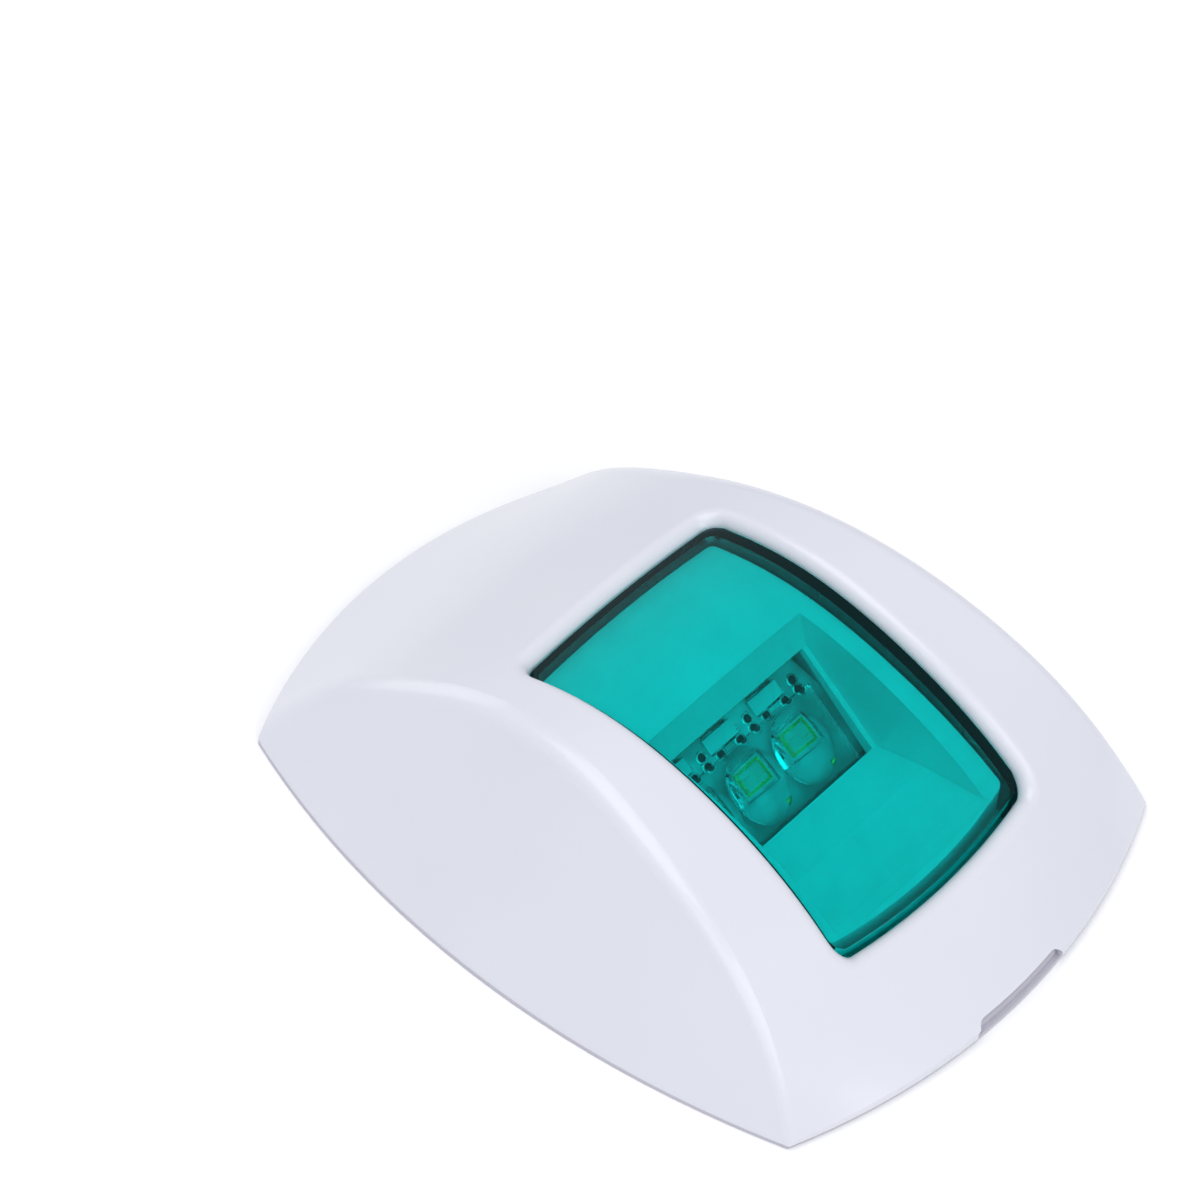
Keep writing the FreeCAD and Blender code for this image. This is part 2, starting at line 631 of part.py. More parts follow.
def lobe(across):
    # One domed lobe, rounder across the slope than down it.
    ball = Part.makeSphere(1)
    stretch = FreeCAD.Matrix()
    stretch.scale(Vector(LOBE_HALF_LENGTH, LOBE_HALF_WIDTH, LOBE_HEIGHT))
    dome = ball.transformGeometry(stretch)
    dome.translate(Vector(LOBE_ALONG, across, 0))
    return dome


def optic_bar():
    right, left = slot_ends()
    blank = box(LOBE_ALONG - LOBE_HALF_LENGTH, LOBE_ALONG + LOBE_HALF_LENGTH,
                right + OPTIC_END_GAP, left - OPTIC_END_GAP, OPTIC_CLEARANCE, OPTIC_BASE_HEIGHT)
    above_board = box(*BOARD_ENDS, right + OPTIC_END_GAP, left - OPTIC_END_GAP, OPTIC_CLEARANCE, 10)
    bar = joined([blank] + [lobe(across).common(above_board) for along, across in led_places()])
    for along, across in led_places():
        length, width, height = LED_SIZE
        room = (length + 2 * OPTIC_LED_GAP, width + 2 * OPTIC_LED_GAP, height + OPTIC_CLEARANCE)
        bar = bar.cut(flat_box(along, across, room, 0))
    return on_slope(bar)


def heat_spreader():
    # Bent aluminium plate: the sloping part backs the LED board, the rear leg stands on the floor.
    top_z = -BOARD_DEPTH - BOARD_THICKNESS
    low_z = top_z - SPREADER_THICKNESS
    upper_end = down_slope(BOARD_ENDS[0], top_z)
    under_end = down_slope(-0.8, low_z)
    floor_z = PLATE_TOP_Z + HOUSING_FLOOR
    points = [upper_end, down_slope(10.4, top_z), down_slope(10.4, low_z),
              (upper_end[0] + SPREADER_THICKNESS, under_end[1] - 0.4),
              (upper_end[0] + SPREADER_THICKNESS, floor_z), (upper_end[0], floor_z)]
    return profile_along_y(points, -DRIVER_BOARD_HALF_WIDTH + 2, DRIVER_BOARD_HALF_WIDTH - 2)


# --- driver board and its components ------------------------------------------------------------
def driver_top():
    return DRIVER_BOARD_Z + DRIVER_BOARD_THICKNESS


def driver_board():
    x0, x1 = DRIVER_BOARD_X
    board = box(x0, x1, -DRIVER_BOARD_HALF_WIDTH, DRIVER_BOARD_HALF_WIDTH, DRIVER_BOARD_Z, driver_top())
    for y in terminal_places():
        board = board.cut(rod(x0 + 1.4, y, 0, 20, 0.55))
    return board


def terminal_places():
    return (-2.0, 2.0)


def supply_terminals():
    x = DRIVER_BOARD_X[0] + 1.4
    pins = []
    for y in terminal_places():
        pin = rod(x, y, DRIVER_BOARD_Z - 1.6, driver_top() + 0.8, 0.5)
        collar = rod(x, y, driver_top(), driver_top() + 0.4, 0.9)
        pins.append(joined([pin, collar]))
    return Part.makeCompound(pins)


def driver_chip():
    z = driver_top()
    return box(-4.2, -1.4, -1.8, 1.8, z, z + 1.3)


def driver_inductor():
    z = driver_top()
    block = box(-7.8, -3.8, 4.2, 8.6, z, z + 2.6)
    return block.makeFillet(0.7, corner_edges(block))


def input_capacitors():
    z = driver_top()
    return Part.makeCompound([rod(-5.6, y, z, z + 4.2, 1.6) for y in (-8.6, -4.9)])


def protection_diode():
    z = driver_top()
    return box(-2.9, -1.2, 4.4, 8.4, z, z + 1.4)


def driver_resistors():
    z = driver_top()
    return Part.makeCompound([box(-2.9, -1.3, y, y + 0.9, z, z + 0.5) for y in (-9.4, -7.6, -5.8, -4.0)])


PARTS = {
    "cover": cover,
    "base_plate": base_plate,
    "mounting_gasket": mounting_gasket,
    "cable_grommet": cable_grommet,
    "module_housing": module_housing,
    "module_screws": module_screws,
    "lens_seal": lens_seal,
    "lens": lens,
    "reflector_tray": reflector_tray,
    "led_board": led_board,
    "led_packages": led_packages,
    "led_emitters": led_emitters,
    "chip_resistors": chip_resistors,
    "optic_bar": optic_bar,
    "heat_spreader": heat_spreader,
    "driver_board": driver_board,
    "supply_terminals": supply_terminals,
    "driver_chip": driver_chip,
    "driver_inductor": driver_inductor,
    "input_capacitors": input_capacitors,
    "protection_diode": protection_diode,
    "driver_resistors": driver_resistors,
}


def main():
    os.makedirs("parts", exist_ok=True)
    for name, make in PARTS.items():
        shape = make()
        print(name, "solids", len(shape.Solids), "valid", shape.isValid(), "volume", round(shape.Volume, 1))
        shape.exportStep("parts/" + name + ".step")


main()
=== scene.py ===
import bpy
import bmesh
import math
from mathutils import Matrix, Vector


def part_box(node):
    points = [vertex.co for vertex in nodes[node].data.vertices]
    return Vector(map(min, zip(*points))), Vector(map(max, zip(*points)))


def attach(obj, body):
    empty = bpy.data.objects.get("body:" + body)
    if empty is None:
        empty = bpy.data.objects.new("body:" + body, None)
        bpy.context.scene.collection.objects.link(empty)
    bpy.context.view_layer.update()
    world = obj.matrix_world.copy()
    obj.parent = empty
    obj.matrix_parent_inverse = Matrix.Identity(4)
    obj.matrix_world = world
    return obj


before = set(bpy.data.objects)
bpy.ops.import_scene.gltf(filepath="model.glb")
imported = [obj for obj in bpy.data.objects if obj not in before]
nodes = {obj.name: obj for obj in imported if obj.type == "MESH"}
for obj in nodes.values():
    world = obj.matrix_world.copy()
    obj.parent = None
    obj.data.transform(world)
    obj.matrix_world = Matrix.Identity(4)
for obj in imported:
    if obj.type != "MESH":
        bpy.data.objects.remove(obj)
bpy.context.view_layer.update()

MM = 0.001

# --- camera: where the light is seen from ---------------------------------------------------------
CAMERA_AZIMUTH = math.radians(36.94)      # from the -Y side towards the +X end
CAMERA_ELEVATION = math.radians(45.67)
CAMERA_ROLL = math.radians(4.53)
CAMERA_DISTANCE = 427.3 * MM
CAMERA_SIDESTEP = 9.53 * MM               # the light stands right of the picture's centre
CAMERA_RISE = 19.18 * MM                  # and below it
CAMERA_LENS_MM = 122.5

# --- light unit -----------------------------------------------------------------------------------
BOARD_TILT = math.atan2(7.7, 10.0)        # the board slopes down towards the front
BOARD_THICKNESS = 1.0 * MM
LED_PITCH = 7.4 * MM
LED_CENTRE_Y = -1.9 * MM
LED_ALONG = 8.8 * MM                      # LED centres, from the board's upper edge down the slope
PAD_ALONG = 3.5 * MM
PAD_HALF_DEPTH = 1.0 * MM
# Each via: mm down the slope from the board's upper edge, and mm across from an LED's middle.
VIA_PLACES = ((4.1, 2.1), (5.2, 4.4), (4.0, 4.4), (5.0, -0.8), (5.2, 2.2))
VIA_OUTER_RADIUS = 0.75 * MM
VIA_HOLE_RADIUS = 0.46 * MM
# Radius and height of each ring of points, from the outside in.
COLLAR_PROFILE = ((VIA_OUTER_RADIUS, 0.0), (VIA_OUTER_RADIUS * 0.93, 0.05 * MM),
                  (VIA_HOLE_RADIUS * 1.35, 0.07 * MM), (VIA_HOLE_RADIUS, 0.03 * MM))
# The near-black disc in each via hole is painted shade for the dark inside the hole.
HOLE_SHADE_PROFILE = ((VIA_HOLE_RADIUS * 1.05, 0.045 * MM), (VIA_HOLE_RADIUS * 0.6, 0.015 * MM))
FILLET_HALF_WIDTH = 0.16 * MM             # solder along a pad's upper and lower edge
FILLET_HALF_LENGTH = 1.9 * MM
FILLET_HEIGHT = 0.26 * MM
FILLET_BEVEL = 0.1 * MM
END_FILLET_FROM_MIDDLE = 1.95 * MM        # solder at an LED's two ends
END_FILLET_HALF_WIDTH = 0.18 * MM
END_FILLET_HALF_LENGTH = 0.9 * MM
END_FILLET_HEIGHT = 0.35 * MM
END_FILLET_BEVEL = 0.12 * MM
DAM_INNER = Vector((0.95, 1.25)) * MM     # half sizes of the dam round an LED's gel
DAM_OUTER = Vector((1.18, 1.50)) * MM
DAM_BOTTOM = 0.78 * MM
DAM_TOP = 0.9 * MM
DAM_BEVEL = 0.03 * MM
TEST_PAD_COUNT = 26
TEST_PAD_PITCH = 0.86 * MM
TEST_PAD_START_Y = -11.2 * MM
TEST_PAD_LENGTH = 0.55 * MM
TEST_PAD_ALONG = (2.05 * MM, 2.25 * MM)
LOWER_PAD_ALONG = (12.2 * MM, 12.8 * MM)
LOWER_PAD_ACROSS = (1.6 * MM, 2.8 * MM)   # from an LED's middle
PLATING_HEIGHT = 0.05 * MM
PLATING_BEVEL = 0.015 * MM
WIRE_RADIUS = 0.028 * MM
WIRE_STEPS = 8
WIRE_FROM_CENTRE = 0.3 * MM               # along the slope
WIRE_START = 0.25 * MM                    # across, from an LED's middle
WIRE_SPAN = 0.9 * MM
WIRE_FOOT_HEIGHT = 0.80 * MM
WIRE_ARCH_HEIGHT = 0.16 * MM

# --- surroundings ---------------------------------------------------------------------------------
FLOOR_REACH = 4.0
FLOOR_DROP = 0.05 * MM                    # keeps the floor clear of the mounting face


def place_camera():
    back = Vector((math.sin(CAMERA_AZIMUTH) * math.cos(CAMERA_ELEVATION),
                   -math.cos(CAMERA_AZIMUTH) * math.cos(CAMERA_ELEVATION),
                   math.sin(CAMERA_ELEVATION)))
    level_right = (-back).cross(Vector((0, 0, 1))).normalized()
    level_up = level_right.cross(-back)
    turn_cos = math.cos(CAMERA_ROLL)
    turn_sin = math.sin(CAMERA_ROLL)
    right = level_right * turn_cos + level_up * turn_sin
    up = level_up * turn_cos - level_right * turn_sin
    place = back * CAMERA_DISTANCE - right * CAMERA_SIDESTEP + up * CAMERA_RISE
    camera_data = bpy.data.cameras.new("camera")
    camera_data.lens = CAMERA_LENS_MM
    camera_data.sensor_width = 36
    camera_data.clip_start = 0.01
    camera_data.clip_end = 20
    camera = bpy.data.objects.new("camera", camera_data)
    camera.matrix_world = Matrix.Translation(place) @ Matrix((right, up, back)).transposed().to_4x4()
    bpy.context.scene.collection.objects.link(camera)
    bpy.context.scene.camera = camera


# --- floor and lights -----------------------------------------------------------------------------
def new_object(name, mesh):
    thing = bpy.data.objects.new(name, mesh)
    bpy.context.scene.collection.objects.link(thing)
    return thing


def floor():
    corners = [(-FLOOR_REACH, -FLOOR_REACH, 0), (FLOOR_REACH, -FLOOR_REACH, 0),
               (FLOOR_REACH, FLOOR_REACH, 0), (-FLOOR_REACH, FLOOR_REACH, 0)]
    mesh = bpy.data.meshes.new("floor")
    mesh.from_pydata(corners, [], [(0, 1, 2, 3)])
    ground = new_object("floor", mesh)
    ground.location.z = -FLOOR_DROP
    material, tree, shader = blank_material("floor_paper")
    shader.inputs["Base Color"].default_value = (0.93, 0.93, 0.935, 1)
    shader.inputs["Roughness"].default_value = 0.9
    mesh.materials.append(material)


def soft_light(name, place, size, power, color=(1, 1, 1)):
    # Aimed at the origin, in metres and watts.
    lamp = bpy.data.lights.new(name, "AREA")
    lamp.shape = "RECTANGLE"
    lamp.size, lamp.size_y = size
    lamp.energy = power
    lamp.color = color
    holder = bpy.data.objects.new(name, lamp)
    holder.location = place
    holder.rotation_euler = (-Vector(place)).to_track_quat("-Z", "Y").to_euler()
    bpy.context.scene.collection.objects.link(holder)


def lamps():
    soft_light("overhead_softbox", place=(-0.1, -0.15, 0.9), size=(0.8, 0.8), power=4.1)
    soft_light("near_key", place=(0.45, -0.6, 0.6), size=(0.6, 0.6), power=1.3, color=(0.95, 0.97, 1.0))
    soft_light("front_key", place=(0.75, -0.1, 0.55), size=(0.6, 0.6), power=2.2)
    soft_light("rear_strip", place=(-0.8, 0.1, 0.35), size=(0.5, 0.4), power=0.9)
    world = bpy.data.worlds.new("studio")
    bpy.context.scene.world = world
    world.use_nodes = True
    background = world.node_tree.nodes["Background"]
    background.inputs["Color"].default_value = (0.93, 0.94, 1.0, 1)
    background.inputs["Strength"].default_value = 0.55
    bpy.context.scene.view_settings.view_transform = "Standard"


# --- material building blocks ---------------------------------------------------------------------
def blank_material(name):
    material = bpy.data.materials.new(name)
    material.use_nodes = True
    return material, material.node_tree, material.node_tree.nodes["Principled BSDF"]


def object_coordinates(tree):
    return tree.nodes.new("ShaderNodeTexCoord").outputs["Object"]


def noise(tree, per_mm, detail, coordinates=None):
    texture = tree.nodes.new("ShaderNodeTexNoise")
    texture.inputs["Scale"].default_value = per_mm / MM
    texture.inputs["Detail"].default_value = detail
    tree.links.new(coordinates or object_coordinates(tree), texture.inputs["Vector"])
    return texture.outputs["Fac"]


def stretched(tree, scale):
    mapping = tree.nodes.new("ShaderNodeMapping")
    mapping.inputs["Scale"].default_value = scale
    tree.links.new(object_coordinates(tree), mapping.inputs["Vector"])
    return mapping.outputs["Vector"]


def spread(tree, value, low, high, from_low=0.3, from_high=0.7):
    reach = tree.nodes.new("ShaderNodeMapRange")
    reach.inputs["From Min"].default_value = from_low
    reach.inputs["From Max"].default_value = from_high
    reach.inputs["To Min"].default_value = low
    reach.inputs["To Max"].default_value = high
    tree.links.new(value, reach.inputs["Value"])
    return reach.outputs["Result"]


def ramp(tree, value, stops):
    # Two stops, each a position and a colour.
    colors = tree.nodes.new("ShaderNodeValToRGB")
    for element, (position, color) in zip(colors.color_ramp.elements, stops, strict=True):
        element.position = position
        element.color = (*color, 1)
    tree.links.new(value, colors.inputs["Fac"])
    return colors.outputs["Color"]


def bump(tree, shader, value, height_mm):
    relief = tree.nodes.new("ShaderNodeBump")
    relief.inputs["Strength"].default_value = 1.0
    relief.inputs["Distance"].default_value = height_mm * MM
    tree.links.new(value, relief.inputs["Height"])
    tree.links.new(relief.outputs["Normal"], shader.inputs["Normal"])


def moulded_plastic(name, color, roughness, grain_mm, relief_mm):
    # Faint mottling, uneven gloss and the slight waviness of a moulded wall.
    material, tree, shader = blank_material(name)
    darker = tuple(channel * 0.98 for channel in color)
    cloud = noise(tree, per_mm=0.12, detail=2.0)
    tree.links.new(ramp(tree, cloud, [(0.3, darker), (0.7, color)]), shader.inputs["Base Color"])
    gloss = noise(tree, per_mm=0.5, detail=4.0)
    uneven = spread(tree, gloss, low=roughness * 0.85, high=roughness * 1.2)
    tree.links.new(uneven, shader.inputs["Roughness"])
    bump(tree, shader, noise(tree, per_mm=1 / grain_mm, detail=2.0), relief_mm)
    return material


def cover_plastic():
    # High gloss: only a slow change of tone, and the faint unevenness of a polished mould.
    material, tree, shader = blank_material("cover_abs")
    cloud = noise(tree, per_mm=0.05, detail=1.0)
    tree.links.new(ramp(tree, cloud, [(0.0, (0.65, 0.66, 0.725)), (1.0, (0.69, 0.70, 0.75))]),
                   shader.inputs["Base Color"])
    gloss = noise(tree, per_mm=0.12, detail=0.0)
    uneven = spread(tree, gloss, low=0.28, high=0.36, from_low=0.0, from_high=1.0)
    tree.links.new(uneven, shader.inputs["Roughness"])
    bump(tree, shader, noise(tree, per_mm=0.06, detail=0.0), height_mm=0.003)
    shader.inputs["Coat Weight"].default_value = 0.35
    shader.inputs["Coat Roughness"].default_value = 0.12
    shader.inputs["Subsurface Weight"].default_value = 0.08
    shader.inputs["Subsurface Radius"].default_value = (0.8 * MM, 0.8 * MM, 0.9 * MM)
    shader.inputs["Subsurface Scale"].default_value = 1.0
    return material


def rubber(name, color):
    material, tree, shader = blank_material(name)
    dust = noise(tree, per_mm=0.8, detail=5.0)
    paler = tuple(channel * 1.6 + 0.01 for channel in color)
    tree.links.new(ramp(tree, dust, [(0.35, color), (0.75, paler)]), shader.inputs["Base Color"])
    tree.links.new(spread(tree, dust, low=0.75, high=0.9), shader.inputs["Roughness"])
    bump(tree, shader, noise(tree, per_mm=4.0, detail=2.0), height_mm=0.03)
    return material


def foam(name):
    material, tree, shader = blank_material(name)
    cells = tree.nodes.new("ShaderNodeTexVoronoi")
    cells.inputs["Scale"].default_value = 2.2 / MM
    tree.links.new(object_coordinates(tree), cells.inputs["Vector"])
    dark = (0.012, 0.012, 0.013)
    pale = (0.05, 0.05, 0.052)
    tree.links.new(ramp(tree, cells.outputs["Distance"], [(0.1, dark), (0.6, pale)]),
                   shader.inputs["Base Color"])
    shader.inputs["Roughness"].default_value = 0.9
    bump(tree, shader, cells.outputs["Distance"], height_mm=0.08)
    return material


def brushed_metal(name, color, roughness, grain=(1, 12, 1)):
    material, tree, shader = blank_material(name)
    lines = noise(tree, per_mm=1.2, detail=4.0, coordinates=stretched(tree, grain))
    darker = tuple(channel * 0.8 for channel in color)
    tree.links.new(ramp(tree, lines, [(0.3, darker), (0.7, color)]), shader.inputs["Base Color"])
    tree.links.new(spread(tree, lines, low=roughness, high=roughness + 0.15), shader.inputs["Roughness"])
    shader.inputs["Metallic"].default_value = 1.0
    bump(tree, shader, lines, height_mm=0.006)
    return material


def clear_plastic(name, color, ior, specular, glint, roughness=0.02, wave_mm=0.004):
    material, tree, shader = blank_material(name)
    haze = noise(tree, per_mm=0.25, detail=1.0)
    paler = tuple(min(1.0, channel * 1.04 + 0.002) for channel in color)
    tree.links.new(ramp(tree, haze, [(0.3, color), (0.7, paler)]), shader.inputs["Base Color"])
    uneven = spread(tree, haze, low=roughness * 0.7, high=roughness * 1.6)
    tree.links.new(uneven, shader.inputs["Roughness"])
    shader.inputs["Transmission Weight"].default_value = 1.0
    shader.inputs["IOR"].default_value = ior
    shader.inputs["Specular IOR Level"].default_value = specular
    shader.inputs["Specular Tint"].default_value = (*glint, 1)
    bump(tree, shader, noise(tree, per_mm=0.16, detail=1.0), wave_mm)
    return material


def board_mask():
    # White solder mask: copper under it shows as faint raised areas.
    material, tree, shader = blank_material("board_mask")
    patches = tree.nodes.new("ShaderNodeTexVoronoi")
    patches.feature = "F1"
    patches.inputs["Scale"].default_value = 0.22 / MM
    patches.inputs["Randomness"].default_value = 0.5
    tree.links.new(object_coordinates(tree), patches.inputs["Vector"])
    pale = (0.88, 0.92, 0.92)
    deep = (0.50, 0.60, 0.58)
    tree.links.new(ramp(tree, patches.outputs["Distance"], [(0.35, pale), (0.6, deep)]),
                   shader.inputs["Base Color"])
    shader.inputs["Roughness"].default_value = 0.35
    bump(tree, shader, patches.outputs["Distance"], height_mm=0.03)
    return material


def dark_epoxy(name, color=(0.02, 0.02, 0.022)):
    material, tree, shader = blank_material(name)
    grain = noise(tree, per_mm=6.0, detail=3.0)
    paler = tuple(channel * 2.2 for channel in color)
    tree.links.new(ramp(tree, grain, [(0.35, color), (0.7, paler)]), shader.inputs["Base Color"])
    tree.links.new(spread(tree, grain, low=0.45, high=0.65), shader.inputs["Roughness"])
    bump(tree, shader, grain, height_mm=0.01)
    return material


def circuit_green():
    material, tree, shader = blank_material("board_green")
    tracks = tree.nodes.new("ShaderNodeTexBrick")
    tracks.inputs["Scale"].default_value = 0.45 / MM
    tracks.inputs["Color1"].default_value = (0.015, 0.085, 0.035, 1)
    tracks.inputs["Color2"].default_value = (0.02, 0.12, 0.05, 1)
    tracks.inputs["Mortar"].default_value = (0.035, 0.19, 0.08, 1)
    tracks.inputs["Mortar Size"].default_value = 0.06
    tree.links.new(object_coordinates(tree), tracks.inputs["Vector"])
    tree.links.new(tracks.outputs["Color"], shader.inputs["Base Color"])
    shader.inputs["Roughness"].default_value = 0.3
    bump(tree, shader, tracks.outputs["Fac"], height_mm=0.03)
    return material


def glow_gel():
    material, tree, shader = blank_material("led_gel")
    crumbs = noise(tree, per_mm=3.0, detail=3.0)
    tree.links.new(ramp(tree, crumbs, [(0.3, (0.60, 0.80, 0.62)), (0.7, (0.85, 0.92, 0.80))]),
                   shader.inputs["Base Color"])
    shader.inputs["Roughness"].default_value = 0.12
    bump(tree, shader, crumbs, height_mm=0.02)
    return material


def bright_tin(name, color=(0.78, 0.78, 0.75)):
    material, tree, shader = blank_material(name)
    lumps = noise(tree, per_mm=2.0, detail=3.0)
    darker = tuple(channel * 0.75 for channel in color)
    tree.links.new(ramp(tree, lumps, [(0.3, darker), (0.7, color)]), shader.inputs["Base Color"])
    tree.links.new(spread(tree, lumps, low=0.18, high=0.35), shader.inputs["Roughness"])
    shader.inputs["Metallic"].default_value = 1.0
    bump(tree, shader, lumps, height_mm=0.02)
    return material


def dress(node, material):
    mesh = nodes[node].data
    if not mesh.materials:
        mesh.materials.append(material)
    for index in range(len(mesh.materials)):
        mesh.materials[index] = material


def dress_nodes():
    dress("cover", cover_plastic())
    # The base plate's grey-lavender, darker than the cover, is painted shade matching the shaded front
    # notch where the plate shows.
    dress("base_plate", moulded_plastic("base_abs", (0.50, 0.49, 0.55),
                                        roughness=0.5, grain_mm=0.4, relief_mm=0.01))
    dress("mounting_gasket", foam("gasket_foam"))
    dress("cable_grommet", rubber("grommet_rubber", (0.02, 0.02, 0.02)))
    dress("module_housing", moulded_plastic("housing_abs", (0.62, 0.62, 0.61),
                                            roughness=0.45, grain_mm=0.4, relief_mm=0.01))
    dress("module_screws", brushed_metal("screw_steel", (0.62, 0.61, 0.6),
                                         roughness=0.25, grain=(1, 1, 8)))
    dress("lens_seal", rubber("seal_rubber", (0.01, 0.014, 0.014)))
    dress("lens", clear_plastic("lens_green", (0.0, 0.84, 0.82), ior=1.46, specular=0.08,
                                glint=(0.15, 0.9, 0.9)))
    dress("reflector_tray", moulded_plastic("reflector_white", (0.93, 0.95, 0.94),
                                            roughness=0.36, grain_mm=0.8, relief_mm=0.003))
    dress("led_board", board_mask())
    dress("led_packages", moulded_plastic("led_body", (0.86, 0.93, 0.84),
                                          roughness=0.3, grain_mm=0.6, relief_mm=0.003))
    dress("led_emitters", glow_gel())
    dress("chip_resistors", moulded_plastic("chip_ceramic", (0.93, 0.95, 0.95),
                                            roughness=0.3, grain_mm=0.6, relief_mm=0.004))
    dress("optic_bar", clear_plastic("optic_clear", (0.96, 0.99, 0.985), ior=1.49, specular=0.5,
                                     glint=(1, 1, 1), roughness=0.015, wave_mm=0.002))
    dress("heat_spreader", brushed_metal("spreader_aluminium", (0.74, 0.74, 0.75), roughness=0.3))
    dress("driver_board", circuit_green())
    dress("supply_terminals", bright_tin("terminal_tin"))
    dress("input_capacitors", brushed_metal("capacitor_can", (0.7, 0.7, 0.72), roughness=0.22))
    dress("driver_chip", dark_epoxy("chip_epoxy"))
    dress("driver_inductor", dark_epoxy("inductor_ferrite", (0.03, 0.03, 0.034)))
    dress("protection_diode", dark_epoxy("diode_epoxy", (0.015, 0.015, 0.016)))
    dress("driver_resistors", dark_epoxy("resistor_film", (0.012, 0.012, 0.014)))


# --- detail on the LED board ----------------------------------------------------------------------
def board_matrix():
    # Local X runs down the slope from the board's upper edge, local Z out of its face.
    low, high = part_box("led_board")
    origin = Vector((low[0] + BOARD_THICKNESS * math.sin(BOARD_TILT), 0, high[2]))
    return Matrix.Translation(origin) @ Matrix.Rotation(BOARD_TILT, 4, "Y")


def led_middles():
    return [LED_CENTRE_Y + LED_PITCH * i for i in (-1, 0, 1)]


def add_detail(name, mesh_maker, material):
    # Builds one piece lying on the board, from a function that fills a bmesh in board coordinates.
    form = bmesh.new()
    mesh_maker(form)
    bmesh.ops.recalc_face_normals(form, faces=form.faces)
    form.transform(board_matrix())
    mesh = bpy.data.meshes.new(name)
    form.to_mesh(mesh)
    form.free()
    for face in mesh.polygons:
        face.use_smooth = True
    mesh.materials.append(material)
    piece = new_object(name, mesh)
    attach(piece, "base")


def ring_band(form, centre, profile, sides=24):
    # Turns an open profile of radii and heights about an axis square to the board.
    loops = []
    for radius, height in profile:
        loop = []
        for i in range(sides):
            angle = 2 * math.pi * i / sides
            loop.append(form.verts.new((centre[0] + radius * math.cos(angle),
                                        centre[1] + radius * math.sin(angle), height)))
        loops.append(loop)
    for first, second in zip(loops, loops[1:]):
        for i in range(sides):
            j = (i + 1) % sides
            form.faces.new((first[i], first[j], second[j], second[i]))
    return loops


def bevelled_block(form, x0, x1, y0, y1, z0, z1, bevel):
    made = bmesh.ops.create_cube(form, size=1.0)
    size = Vector((x1 - x0, y1 - y0, z1 - z0))
    middle = Vector(((x0 + x1) / 2, (y0 + y1) / 2, (z0 + z1) / 2))
    for vert in made["verts"]:
        vert.co = Vector((vert.co.x * size.x, vert.co.y * size.y, vert.co.z * size.z)) + middle
    edges = {edge for vert in made["verts"] for edge in vert.link_edges}
    bmesh.ops.bevel(form, geom=list(edges), offset=bevel, segments=2, affect="EDGES")


def via_places():
    return [(along * MM, middle + across * MM)
            for middle in led_middles() for along, across in VIA_PLACES]


def via_collars(form):
    # Tinned rings, domed a little, round each plated hole.
    for place in via_places():
        ring_band(form, place, COLLAR_PROFILE)


def via_hole_painted_shades(form):
    # A near-black disc inside each ring, dished below the rim: painted shade standing in for the dark of
    # the open hole.
    for place in via_places():
        loops = ring_band(form, place, HOLE_SHADE_PROFILE)
        form.faces.new(loops[-1])


def solder_fillets(form):
    # Bright solder along the upper and lower edge of each pad, and at both ends of each LED.
    for middle in led_middles():
        for along in (PAD_ALONG - PAD_HALF_DEPTH, PAD_ALONG + PAD_HALF_DEPTH):
            bevelled_block(form, along - FILLET_HALF_WIDTH, along + FILLET_HALF_WIDTH,
                           middle - FILLET_HALF_LENGTH, middle + FILLET_HALF_LENGTH,
                           0.0, FILLET_HEIGHT, FILLET_BEVEL)
        for side in (-1, 1):
            across = middle + side * END_FILLET_FROM_MIDDLE
            bevelled_block(form, LED_ALONG - END_FILLET_HALF_LENGTH, LED_ALONG + END_FILLET_HALF_LENGTH,
                           across - END_FILLET_HALF_WIDTH, across + END_FILLET_HALF_WIDTH,
                           0.0, END_FILLET_HEIGHT, END_FILLET_BEVEL)


def led_frames(form):
    # Raised yellow-green dam round the gel in each LED.
    inner = DAM_INNER
    outer = DAM_OUTER
    bars = ((-outer.x, outer.x, -outer.y, -inner.y),
            (-outer.x, outer.x, inner.y, outer.y),
            (-outer.x, -inner.x, -inner.y, inner.y),
            (inner.x, outer.x, -inner.y, inner.y))
    for middle in led_middles():
        for x0, x1, y0, y1 in bars:
            bevelled_block(form, LED_ALONG + x0, LED_ALONG + x1, middle + y0, middle + y1,
                           DAM_BOTTOM, DAM_TOP, DAM_BEVEL)


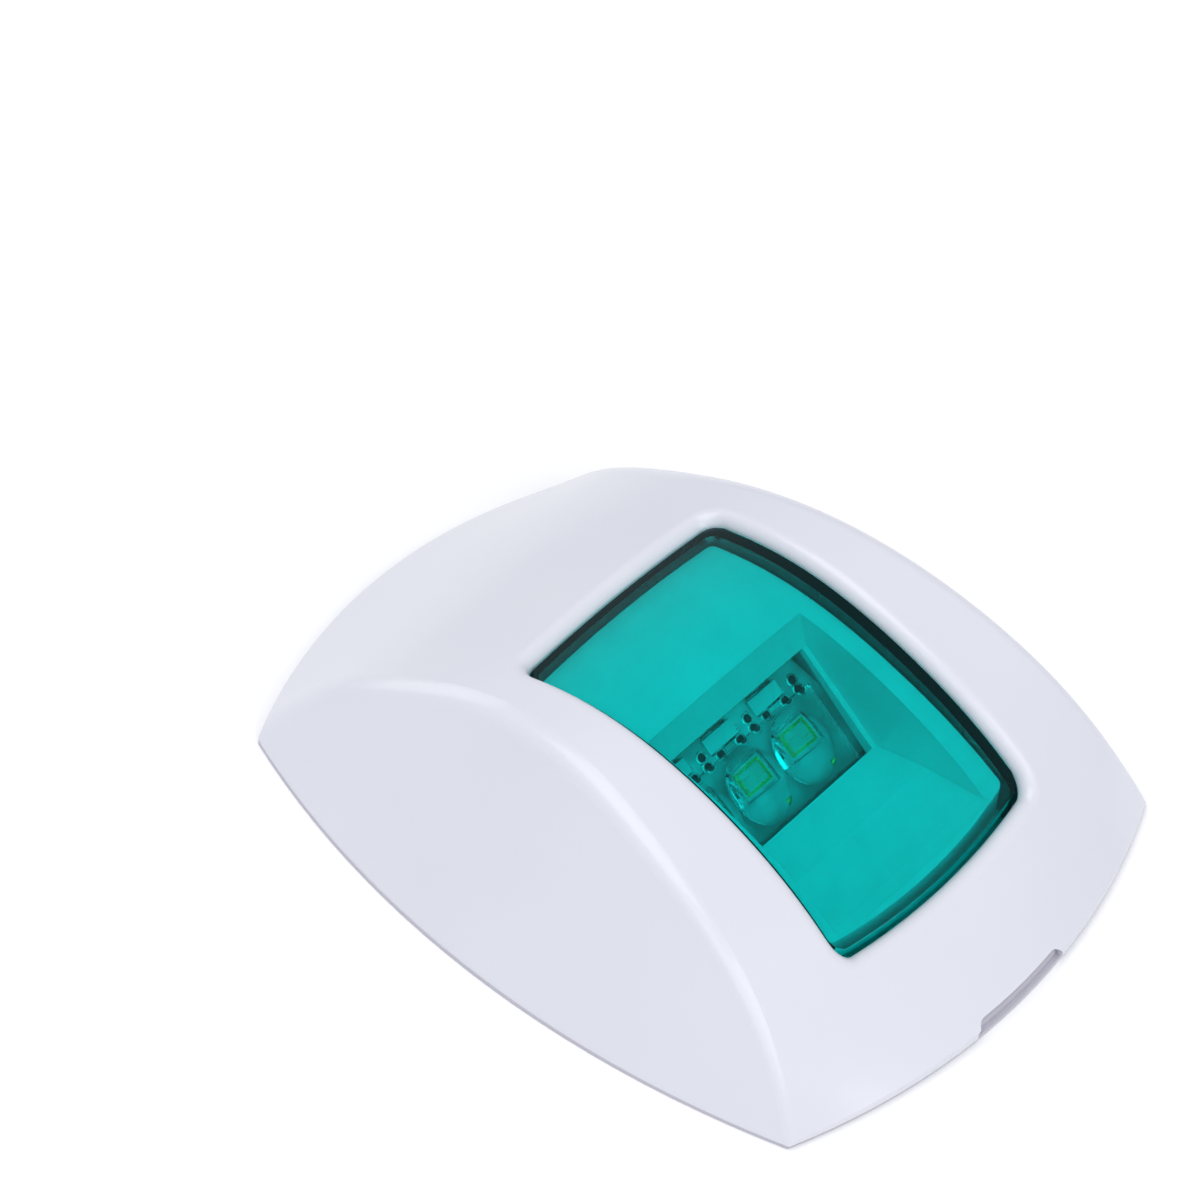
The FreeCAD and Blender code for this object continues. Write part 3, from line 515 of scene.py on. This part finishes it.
def test_pads(form):
    # Small plated rectangles: a row along the board's upper edge with every fifth left out, and one
    # by each LED's lower corner.
    for i in range(TEST_PAD_COUNT):
        if i % 5 != 4:
            across = TEST_PAD_START_Y + i * TEST_PAD_PITCH
            bevelled_block(form, *TEST_PAD_ALONG, across, across + TEST_PAD_LENGTH,
                           0.0, PLATING_HEIGHT, PLATING_BEVEL)
    for middle in led_middles():
        bevelled_block(form, *LOWER_PAD_ALONG,
                       middle + LOWER_PAD_ACROSS[0], middle + LOWER_PAD_ACROSS[1],
                       0.0, PLATING_HEIGHT, PLATING_BEVEL)


def bond_wires(form):
    # Two fine gold wires arch from the die to the frame in each LED.
    for middle in led_middles():
        for side in (-1, 1):
            path = []
            for i in range(WIRE_STEPS + 1):
                share = i / WIRE_STEPS
                across = middle + side * (WIRE_START + WIRE_SPAN * share)
                height = WIRE_FOOT_HEIGHT + WIRE_ARCH_HEIGHT * math.sin(math.pi * share)
                path.append(Vector((LED_ALONG + side * WIRE_FROM_CENTRE, across, height)))
            tube(form, path, WIRE_RADIUS)


def tube(form, path, radius, sides=6):
    loops = []
    for i, point in enumerate(path):
        ahead = (path[min(i + 1, len(path) - 1)] - path[max(i - 1, 0)]).normalized()
        across = ahead.cross(Vector((1, 0, 0))).normalized()
        up = across.cross(ahead)
        loop = []
        for j in range(sides):
            angle = 2 * math.pi * j / sides
            loop.append(form.verts.new(point + (across * math.cos(angle) + up * math.sin(angle)) * radius))
        loops.append(loop)
    for first, second in zip(loops, loops[1:]):
        for j in range(sides):
            k = (j + 1) % sides
            form.faces.new((first[j], first[k], second[k], second[j]))
    form.faces.new(loops[0])
    form.faces.new(loops[-1])


def board_details():
    add_detail("via_collars", via_collars, bright_tin("via_tin", (0.85, 0.87, 0.84)))
    # The near-black discs in the via holes are painted shade for the dark inside each open hole.
    add_detail("via_hole_painted_shades", via_hole_painted_shades, dark_epoxy("via_hole_painted_shade", (0.004, 0.006, 0.006)))
    add_detail("solder_fillets", solder_fillets, bright_tin("solder", (0.86, 0.88, 0.88)))
    add_detail("led_frames", led_frames, dark_epoxy("led_dam", (0.30, 0.55, 0.03)))
    add_detail("test_pads", test_pads, bright_tin("pad_gold", (0.55, 0.75, 0.10)))
    add_detail("bond_wires", bond_wires, bright_tin("bond_gold", (0.9, 0.75, 0.35)))


place_camera()
floor()
lamps()
dress_nodes()
board_details()
